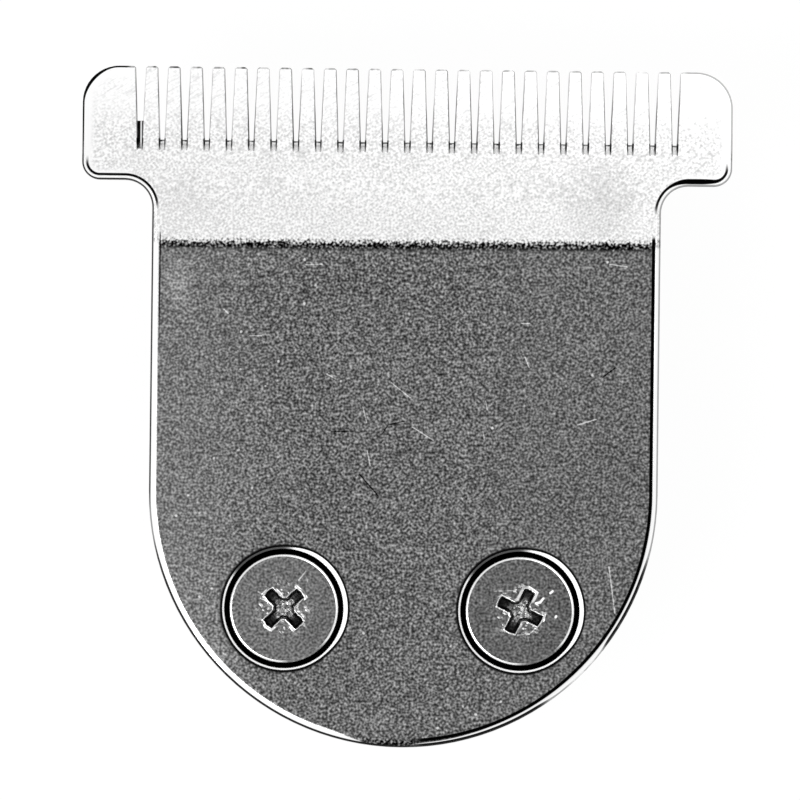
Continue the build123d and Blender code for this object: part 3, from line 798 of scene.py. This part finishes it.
def screwTree():
    sizes = ("Turn", "Seed", "Top", "Span", "Wing", "Web", "Slope", "Depth", "Foot", "Burr")
    inputs = [("Profile", "Geometry", None), ("Centre", "Vector", (0, 0, 0)), ("Around", "Int", 128),
              *((label, "Float", 0.0) for label in sizes), ("Material", "Material", None)]
    tree, put, out = newGroup("screwTurner", inputs, [("Screw", "Geometry")], "GeometryNodeTree")
    tree.is_modifier = True
    count = addAfter("GeometryNodeAttributeDomainSize", {"Geometry": put["Profile"]}).outputs["Point Count"]
    grid = addAfter("GeometryNodeMeshGrid", {"Size X": 1.0, "Size Y": 1.0, "Vertices X": count,
                                             "Vertices Y": plus(put["Around"], 1.0)})
    position = add(tree, "GeometryNodeInputPosition").outputs[0]
    spot = split(position)
    row = calc("ROUND", times(plus(spot[0], 0.5), minus(count, 1.0)))
    angle = times(plus(spot[1], 0.5), 2.0 * math.pi)
    taken = addAfter("GeometryNodeSampleIndex", {"Geometry": put["Profile"], "Index": row},
                     data_type="FLOAT_VECTOR", domain="POINT")
    feed(taken.inputs["Value"], position)
    section = split(taken.outputs[0])
    radius, height = section[0], section[2]
    ring = join(times(radius, calc("COSINE", angle)), times(radius, calc("SINE", angle)), height)

    # cross recess, from the distance to the wings' sides
    turned = spin(ring, times(put["Turn"], -1.0))
    rough = vec("ADD", turned, join(put["Seed"], put["Seed"]))
    across = split(turned)
    u = absolute(across[0])
    v = absolute(across[1])
    half = times(put["Wing"], 0.5)
    sides = smaller(minus(u, half), minus(v, half))
    webs = times(minus(plus(u, v), plus(put["Wing"], put["Web"])), 0.7071)
    chew = times(minus(noise(rough, 3.2, 3.0, 0.65), 0.5), screw["chew"])
    outside = plus(smaller(sides, webs), chew)
    wall = times(outside, -1.0, put["Slope"])
    reach = times(put["Span"], 0.5)
    lean = ratio(put["Depth"], minus(reach, times(put["Foot"], 0.5)))
    end = minus(reach, plus(radius, chew))
    deep = calc("SMOOTH_MIN", wall, times(end, lean), 0.12)
    floor = addScaled(put["Depth"], noise(rough, 4.0, 2.0), -0.35)
    deep = larger(calc("SMOOTH_MIN", deep, floor, 0.1), 0.0)
    face = calc("GREATER_THAN", height, minus(put["Top"], 0.001))
    deep = times(deep, face)

    # burrs pushed up beside the recess, and the dents round them
    rim = larger(outside, times(end, -1.0))
    lumps = addScaled(0.75, step(noise(rough, 1.7, 4.0, 0.7), 0.34, 0.56), 0.25)
    burr = times(band(rim, -0.01, 0.06, 0.03), face, lumps)
    wide = step(noise(rough, 1.1, 1.0), 0.5, 0.62)
    burr = larger(burr, times(band(rim, 0.0, 0.17, 0.03), face, lumps, wide))
    torn = step(noise(vec("MULTIPLY", rough, (1.0, 0.4, 1.0)), 4.6, 3.0, 0.7), 0.55, 0.64)
    torn = times(torn, step(radius, 2.1, 1.3), face, step(rim, -0.02, 0.05))
    lift = times(larger(burr, times(torn, 0.5)), put["Burr"])
    rise = join(0.0, 0.0, minus(lift, deep))
    place = scaled(vec("ADD", vec("ADD", ring, rise), put["Centre"]), 0.001)

    shape = grid.outputs["Mesh"]
    kept = {"rim": rim, "burr": larger(burr, times(torn, 0.7)), "radius": radius, "face": face}
    for label, value in kept.items():
        store = addAfter("GeometryNodeStoreNamedAttribute", {"Geometry": shape, "Name": label},
                         data_type="FLOAT", domain="POINT")
        feed(store.inputs["Value"], value)
        shape = store.outputs[0]
    shape = addAfter("GeometryNodeSetPosition", {"Geometry": shape, "Position": place}).outputs[0]
    shape = addAfter("GeometryNodeMergeByDistance", {"Geometry": shape, "Distance": 0.0000005}).outputs[0]
    return deliver(tree, out, Screw=dressed(shape, put["Material"]))


def dressed(shape, material):   # last two nodes of a geometry tree
    shape = addAfter("GeometryNodeRealizeInstances", {"Geometry": shape}).outputs[0]
    return addAfter("GeometryNodeSetMaterial", {"Geometry": shape, "Material": material}).outputs[0]


def screwMaterial():
    material, tree, shader = newMaterial("satin screw steel", Metallic=1.0)
    mm = useGroup(tree, millimetres)
    place = mm["Place"]
    head = screw["headRadius"]
    rim, burr, radius, face = (add(tree, "ShaderNodeAttribute", attribute_name=label).outputs["Fac"]
                               for label in ("rim", "burr", "radius", "face"))
    grain = useGroup(tree, blastGrain, Place=place, Size=screw["grainSize"])
    turning = minus(noise(join(radius), 14.0, 2.0), 0.5)
    stain = minus(noise(place, 0.9, 3.0, 0.6), 0.5)
    scratches = useGroup(tree, looseScratches, Place=place, Spread=screw["scratchSpread"],
                         Width=screw["scratchWidth"])["Mask"]
    # painted light: the heads lighter towards the left
    level = screw["level"]
    for effect, lift in ((mm["X"], "sideLightLift"), (grain["Tone"], "grainLift"), (turning, "turningLift"),
                         (stain, "stainLift"), (scratches, "scratchLift")):
        level = addScaled(level, effect, screw[lift])
    breaks = step(noise(place, 2.6, 2.0), 0.25, 0.6)
    for ends in screw["strokes"]:
        mark = strokeAt(place, ends, screw["strokeWidth"], breaks)
        level = addScaled(level, mark, screw["strokeLift"])

    # recess: dark walls and a floor darker towards them, painted shade; the floor grey with bright bits
    inside = times(face, step(rim, 0.0, -0.05))
    floor = addScaled(-0.5, noise(place, 4.5, 3.0, 0.7), 2.4)
    floor = times(floor, addScaled(1.0, step(radius, 0.5, 1.1), -0.65))
    hollow = lerp(step(rim, -0.12, -0.22), screw["dark"], floor)
    level = lerp(inside, level, hollow)
    level = lerp(burr, level, screw["bright"])
    for ends in screw["dabs"]:
        dab = strokeAt(place, ends, screw["dabWidth"])
        level = lerp(calc("MULTIPLY", dab, 1.5, clamp=True), level, screw["bright"])

    # painted highlight on the edge of the head, dulled on its lower side by painted shade, and its dark
    # flank, painted shade
    edge = band(radius, head - screw["headEdge"] + 0.02, head - 0.06, 0.02)
    lower = along(*fromSeat(mm), screw["shade"])
    shadedSide = step(lower, 0.84 * head, 0.94 * head)
    level = lerp(times(edge, addScaled(1.0, shadedSide, -0.75)), level, screw["bright"])
    level = lerp(step(radius, head - 0.05, head - 0.02), level, screw["dark"])
    toShader(shader, Base_Color=asColour(level),
             Roughness=addScaled(screw["rough"], larger(burr, edge), screw["shineRough"]),
             Normal=bump(grain["Height"], screw["bumpDepth"], None, 0.4))
    return material


screwTurner = screwTree()
screwSteel = screwMaterial()


def turnScrew(name, node, x, turn, seed):
    shared = ("around", "top", "span", "wing", "web", "depth", "foot", "burr")
    values = {key.capitalize(): screw[key] for key in shared}
    values["Centre"] = (x, screw["y"], 0.0)
    values["Turn"] = math.radians(turn)
    values["Seed"] = seed
    values["Slope"] = 1.0 / math.tan(math.radians(screw["draft"]))
    values["Material"] = screwSteel
    points = [(radius, 0.0, height) for radius, height in screwProfile()]
    mesh = growMesh(name, points, screwTurner, values, screw["sharp"])
    addPiece(name, mesh, screwSteel, "blade_body", node)


turnScrew("leftScrew", "left_screw", x=-0.5 * screw["spacing"], turn=44.0, seed=3.0)
turnScrew("rightScrew", "right_screw", x=0.5 * screw["spacing"], turn=64.0, seed=11.0)
print("screws turned")

# tension spring: round wire along the path of the CAD wire

spring = {
    "wire": 0.4, "coilRadius": 1.9, "turns": 2, "pitch": 0.88, "bend": 1.2, "level": 5.47,
    "bridgeY": -4.125, "coilY": 0.875, "footY": 9.575, "armX": 12.25, "footLength": 4.6,
    "sides": 18, "bendSteps": 8, "turnSteps": 44, "sharp": 50,
    "tone": 0.5, "drawnLift": 0.2, "rough": 0.2, "stainRough": 0.2, "bumpDepth": 0.000006,
}


def roundCorner(before, corner, after):
    radius = spring["bend"]
    count = spring["bendSteps"]
    a = (before - corner).normalized()
    b = (after - corner).normalized()
    half = 0.5 * a.angle(b)
    middle = corner + (a + b).normalized() * (radius / math.sin(half))
    start = corner + a * (radius / math.tan(half)) - middle
    end = corner + b * (radius / math.tan(half)) - middle
    return [middle + start.normalized().slerp(end.normalized(), i / count) * radius for i in range(count + 1)]


def springPath():
    coil = spring["coilRadius"]
    level = spring["level"]
    lead = spring["pitch"] / (2.0 * math.pi * coil)
    outer = spring["armX"] - lead * (spring["footY"] - spring["coilY"])
    inner = outer - spring["turns"] * spring["pitch"]
    bridge = Vector((0.0, spring["bridgeY"], level))
    elbow = Vector((inner - lead * (spring["coilY"] - spring["bridgeY"]), spring["bridgeY"], level))
    coilStart = Vector((inner, spring["coilY"], level))
    coilEnd = Vector((outer, spring["coilY"], level))
    knee = Vector((spring["armX"], spring["footY"], level))
    foot = Vector((spring["armX"] - spring["footLength"], spring["footY"], level))
    path = roundCorner(bridge, elbow, coilStart)
    steps = spring["turnSteps"] * spring["turns"]
    for i in range(steps + 1):
        turn = 2.0 * math.pi * spring["turns"] * i / steps
        path.append(Vector((inner + (outer - inner) * i / steps, spring["coilY"] + coil * math.sin(turn),
                            level - coil + coil * math.cos(turn))))
    path += roundCorner(coilEnd, knee, foot)
    path.append(foot)
    left = [Vector((-point.x, point.y, point.z)) for point in reversed(path)]
    return left + path


def wireTree():
    inputs = [("Path", "Geometry", None), ("Radius", "Float", 0.4), ("Sides", "Int", 16),
              ("Material", "Material", None)]
    tree, put, out = newGroup("springWire", inputs, [("Wire", "Geometry")], "GeometryNodeTree")
    tree.is_modifier = True
    path = addAfter("GeometryNodeMeshToCurve", {"Mesh": put["Path"]}).outputs[0]
    circle = {"Resolution": put["Sides"], "Radius": times(put["Radius"], 0.001)}
    ring = addAfter("GeometryNodeCurvePrimitiveCircle", circle).outputs[0]
    wire = addAfter("GeometryNodeCurveToMesh", {"Curve": path, "Profile Curve": ring, "Fill Caps": True})
    return deliver(tree, out, Wire=dressed(wire.outputs[0], put["Material"]))


def springMaterial():
    material, tree, shader = newMaterial("drawn spring wire", Metallic=1.0)
    place = useGroup(tree, millimetres)["Place"]
    drawn = noise(vec("MULTIPLY", place, (9.0, 3.0, 9.0)), 1.0, 3.0, 0.6)
    stain = noise(place, 0.6, 3.0)
    tone = addScaled(spring["tone"], minus(drawn, 0.5), spring["drawnLift"])
    toShader(shader, Base_Color=times(tone, addScaled(0.75, stain, 0.5)),
             Roughness=addScaled(spring["rough"], stain, spring["stainRough"]),
             Normal=bump(drawn, spring["bumpDepth"], None, 0.5))
    return material


def drawSpring():
    material = springMaterial()
    values = {"Radius": spring["wire"], "Sides": spring["sides"], "Material": material}
    points = [point * 0.001 for point in springPath()]
    mesh = growMesh("tensionWire", points, wireTree(), values, spring["sharp"])
    addPiece("tensionWire", mesh, material, "blade_body", "tension_spring")


drawSpring()
print("spring drawn")

# floor, world and lamps

studio = {
    "floorTone": 0.92, "floorGrain": 0.02, "floorGlow": 0.96, "floorSize": 1.2, "floorLevel": -0.00005,
    "topLevel": 0.75, "sideLevel": 1.0, "topFade": (0.35, 0.85),
    # azimuth and elevation in degrees, distance, size, power
    "keyLamp": (212, 48, 0.4, 0.22, 1.3), "fillLamp": (40, 55, 0.45, 0.3, 0.5),
}


def floorMaterial():
    material, tree, shader = newMaterial("pale floor", Roughness=0.9)
    rays = add(tree, "ShaderNodeLightPath").outputs
    mirrored = larger(rays["Is Glossy Ray"], rays["Is Transmission Ray"])
    seen = larger(rays["Is Camera Ray"], mirrored)
    grainTone = noise(add(tree, "ShaderNodeTexCoord").outputs["Object"], 40.0, 3.0)
    pale = grey(studio["floorTone"] + studio["floorGrain"])
    toShader(shader, Base_Color=blendColour(grainTone, grey(studio["floorTone"]), pale))
    glow = add(tree, "ShaderNodeEmission", {"Color": grey(1.0), "Strength": 1.0})
    mix = addAfter("ShaderNodeMixShader", {0: times(seen, studio["floorGlow"]),
                                           1: shader.outputs[0], 2: glow.outputs[0]})
    tree.links.new(mix.outputs[0], tree.nodes["Material Output"].inputs["Surface"])
    return material


def makeFloor():
    half = studio["floorSize"]
    level = studio["floorLevel"]
    corners = [(-half, -half, level), (half, -half, level), (half, half, level), (-half, half, level)]
    mesh = bpy.data.meshes.new("floor")
    mesh.from_pydata(corners, [], [(0, 1, 2, 3)])
    floor = newObject("floor", mesh)
    mesh.materials.append(floorMaterial())


def makeWorld():   # a white tent, brighter round its sides than overhead
    world = bpy.data.worlds.new("studio")
    bpy.context.scene.world = world
    world.use_nodes = True
    tree = world.node_tree
    tree.nodes.clear()
    rays = add(tree, "ShaderNodeLightPath").outputs
    seen = larger(rays["Is Camera Ray"], rays["Is Transmission Ray"])
    up = split(add(tree, "ShaderNodeTexCoord").outputs["Generated"])[2]
    level = lerp(step(up, *studio["topFade"]), studio["sideLevel"], studio["topLevel"])
    back = addAfter("ShaderNodeBackground", {"Color": grey(1.0), "Strength": lerp(seen, level, 1.0)})
    tree.links.new(back.outputs[0], add(tree, "ShaderNodeOutputWorld").inputs["Surface"])


def softbox(name):
    azimuth, elevation, distance, size, power = studio[name]
    light = bpy.data.lights.new(name, "AREA")
    light.shape = "SQUARE"
    light.size = size
    light.energy = power
    lamp = newObject(name, light)
    turn = math.radians(azimuth)
    rise = math.radians(elevation)
    flat = math.cos(rise) * distance
    lamp.location = (flat * math.cos(turn), flat * math.sin(turn), math.sin(rise) * distance)
    lamp.rotation_euler = (-lamp.location).to_track_quat("-Z", "Y").to_euler()


makeFloor()
makeWorld()
softbox("keyLamp")
softbox("fillLamp")

# camera: straight down on the blade's front, with the photo's small turn

camera = {"lens": 700.0, "sensor": 36.0, "viewWidth": 0.04920, "level": 0.0098, "turn": 0.0119,
          "aim": (-0.000267, 0.000500), "clipStart": 0.01}


def makeCamera():
    data = bpy.data.cameras.new("camera")
    data.lens = camera["lens"]
    data.sensor_width = camera["sensor"]
    data.clip_start = camera["clipStart"]
    eye = newObject("camera", data)
    height = camera["level"] + camera["viewWidth"] * camera["lens"] / camera["sensor"]
    eye.location = (*camera["aim"], height)
    eye.rotation_euler = (0.0, 0.0, camera["turn"])
    bpy.context.scene.camera = eye


makeCamera()
bpy.context.scene.view_settings.view_transform = "Standard"
print("studio and camera ready")
